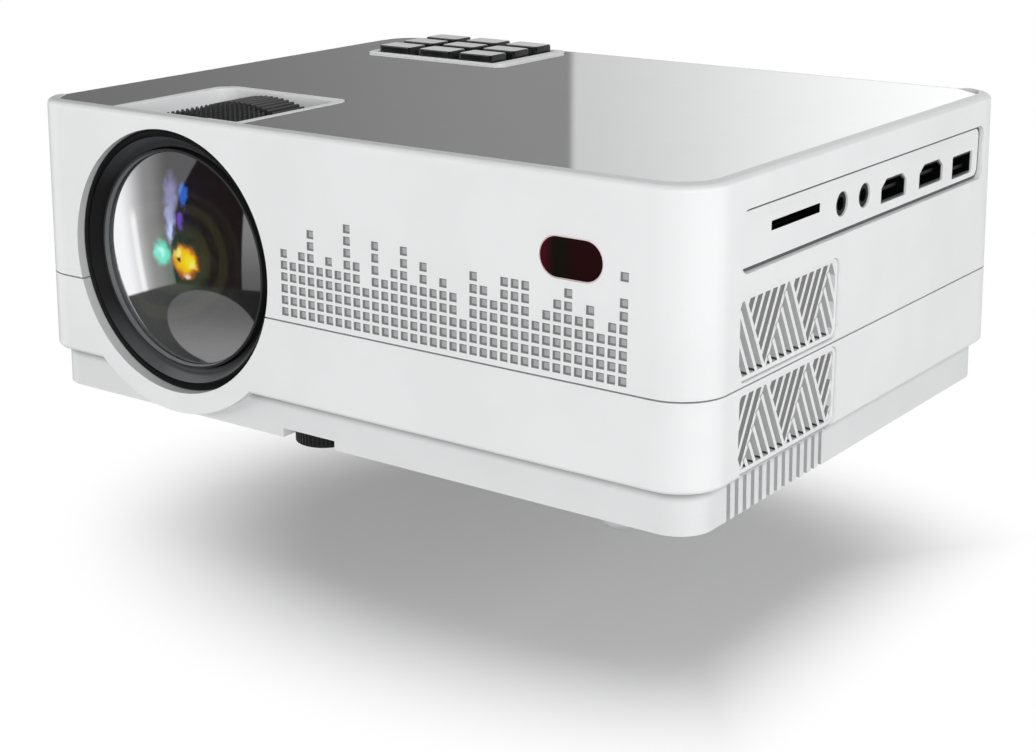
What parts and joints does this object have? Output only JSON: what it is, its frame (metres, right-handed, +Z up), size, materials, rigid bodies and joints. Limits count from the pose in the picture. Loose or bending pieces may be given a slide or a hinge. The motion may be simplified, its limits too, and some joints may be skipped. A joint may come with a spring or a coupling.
{
  "type": "video projector",
  "caption": "Tabletop LED video projector: white case, gloss roof panel, large front lens, top focus rings, keypad, side sockets, chevron vents and a screw foot.",
  "frame": {"origin": "middle of the footprint, on the surface that the four rubber feet stand on", "axes": "+Z up, -Y the way the lens looks, +X towards the sockets and the intake vents"},
  "size_m": [0.231, 0.1765, 0.0922],
  "materials": {
    "white_plastic": "satin white moulded plastic",
    "gloss_panel": "mirror gloss grey sheet",
    "black_plastic": "satin black moulded plastic",
    "gloss_black": "gloss black",
    "key_black": "gloss black caps",
    "red_window": "dark red infrared filter",
    "glass": "clear coated glass",
    "clear_plastic": "clear moulded acrylic",
    "grey_rubber": "matt light grey rubber",
    "socket_metal": "plated sheet steel",
    "screw_steel": "dark plated steel",
    "aluminium": "plain aluminium",
    "circuit_board": "green laminate",
    "copper": "copper core board"
  },
  "bodies": {
    "case": {"top_shell": "white_plastic", "bottom_shell": "white_plastic", "ring_tray": "white_plastic", "keypad_bezel": "white_plastic", "socket_panel": "white_plastic", "right_upper_grille": "white_plastic", "right_lower_grille": "white_plastic", "left_upper_grille": "white_plastic", "left_lower_grille": "white_plastic", "top_panel": "gloss_panel", "lens_mount": "black_plastic", "audio_jack": "black_plastic", "av_jack": "black_plastic", "card_slot": "black_plastic", "optics_housing": "black_plastic", "intake_fan_frame": "black_plastic", "exhaust_fan_frame": "black_plastic", "speaker": "black_plastic", "power_inlet": "black_plastic", "lens_shroud": "gloss_black", "ir_receiver": "gloss_black", "ir_window": "red_window", "condenser_lens": "glass", "fresnel_lens": "clear_plastic", "front_left_foot": "grey_rubber", "front_right_foot": "grey_rubber", "rear_left_foot": "grey_rubber", "rear_right_foot": "grey_rubber", "hdmi_socket_front": "socket_metal", "hdmi_socket_rear": "socket_metal", "usb_socket": "socket_metal", "front_left_screw": "screw_steel", "front_right_screw": "screw_steel", "rear_left_screw": "screw_steel", "rear_right_screw": "screw_steel", "heat_sink": "aluminium", "keypad_board": "circuit_board", "main_board": "circuit_board", "power_board": "circuit_board", "led_module": "copper"},
    "focus_knob": {"focus_ring": "black_plastic"},
    "lens_group": {"lens_barrel": "black_plastic", "front_lens": "glass", "rear_lens": "glass"},
    "keystone_knob": {"keystone_ring": "black_plastic"},
    "lcd_group": {"lcd_frame": "black_plastic", "lcd_panel": "glass"},
    "intake_rotor": {"intake_fan_rotor": "black_plastic"},
    "exhaust_rotor": {"exhaust_fan_rotor": "black_plastic"},
    "foot_knob": {"foot_wheel": "black_plastic"},
    "foot_stem": {"foot_screw": "black_plastic"},
    "key_1_cap": {"key_1": "key_black"},
    "key_2_cap": {"key_2": "key_black"},
    "key_3_cap": {"key_3": "key_black"},
    "key_4_cap": {"key_4": "key_black"},
    "key_5_cap": {"key_5": "key_black"},
    "key_6_cap": {"key_6": "key_black"},
    "key_7_cap": {"key_7": "key_black"},
    "key_8_cap": {"key_8": "key_black"},
    "key_9_cap": {"key_9": "key_black"}
  },
  "joints": [
    {"name": "focus_turn", "type": "hinge", "parent": "case", "child": "focus_knob", "pos_m": [-0.0585, -0.0679, 0.0486], "axis": [0, -1, 0], "range_deg": [-60, 60]},
    {"name": "lens_focus", "type": "slide", "parent": "case", "child": "lens_group", "axis": [0, -1, 0], "range_m": [-0.0024, 0.0024]},
    {"name": "keystone_turn", "type": "hinge", "parent": "case", "child": "keystone_knob", "pos_m": [-0.0585, -0.04945, 0.0486], "axis": [0, -1, 0], "range_deg": [-30, 30]},
    {"name": "lcd_tilt", "type": "hinge", "parent": "case", "child": "lcd_group", "pos_m": [-0.0585, -0.0125, 0.0486], "axis": [1, 0, 0], "range_deg": [-5, 5]},
    {"name": "intake_spin", "type": "hinge", "parent": "case", "child": "intake_rotor", "pos_m": [0.1019, -0.0412, 0.0367], "axis": [1, 0, 0], "continuous": true},
    {"name": "exhaust_spin", "type": "hinge", "parent": "case", "child": "exhaust_rotor", "pos_m": [-0.1019, 0.041, 0.0367], "axis": [1, 0, 0], "continuous": true},
    {"name": "foot_turn", "type": "hinge", "parent": "case", "child": "foot_knob", "pos_m": [-0.0124, -0.0755, 0.004], "axis": [0, 0, 1], "range_deg": [0, 2160]},
    {"name": "foot_rise", "type": "slide", "parent": "case", "child": "foot_stem", "axis": [0, 0, -1], "range_m": [0, 0.012]},
    {"name": "key_1_press", "type": "slide", "parent": "case", "child": "key_1_cap", "axis": [0, 0, -1], "range_m": [0, 0.0008], "stiffness_N_per_m": 600, "springref_m": -0.0006},
    {"name": "key_2_press", "type": "slide", "parent": "case", "child": "key_2_cap", "axis": [0, 0, -1], "range_m": [0, 0.0008], "stiffness_N_per_m": 600, "springref_m": -0.0006},
    {"name": "key_3_press", "type": "slide", "parent": "case", "child": "key_3_cap", "axis": [0, 0, -1], "range_m": [0, 0.0008], "stiffness_N_per_m": 600, "springref_m": -0.0006},
    {"name": "key_4_press", "type": "slide", "parent": "case", "child": "key_4_cap", "axis": [0, 0, -1], "range_m": [0, 0.0008], "stiffness_N_per_m": 600, "springref_m": -0.0006},
    {"name": "key_5_press", "type": "slide", "parent": "case", "child": "key_5_cap", "axis": [0, 0, -1], "range_m": [0, 0.0008], "stiffness_N_per_m": 600, "springref_m": -0.0006},
    {"name": "key_6_press", "type": "slide", "parent": "case", "child": "key_6_cap", "axis": [0, 0, -1], "range_m": [0, 0.0008], "stiffness_N_per_m": 600, "springref_m": -0.0006},
    {"name": "key_7_press", "type": "slide", "parent": "case", "child": "key_7_cap", "axis": [0, 0, -1], "range_m": [0, 0.0008], "stiffness_N_per_m": 600, "springref_m": -0.0006},
    {"name": "key_8_press", "type": "slide", "parent": "case", "child": "key_8_cap", "axis": [0, 0, -1], "range_m": [0, 0.0008], "stiffness_N_per_m": 600, "springref_m": -0.0006},
    {"name": "key_9_press", "type": "slide", "parent": "case", "child": "key_9_cap", "axis": [0, 0, -1], "range_m": [0, 0.0008], "stiffness_N_per_m": 600, "springref_m": -0.0006}
  ],
  "couplings": [
    {"joint": "lens_focus", "follows": "focus_turn", "m_per_rad": 0.00229},
    {"joint": "lcd_tilt", "follows": "keystone_turn", "ratio": 0.1666},
    {"joint": "foot_turn", "follows": "foot_rise", "rad_per_m": 3141.5}
  ]
}
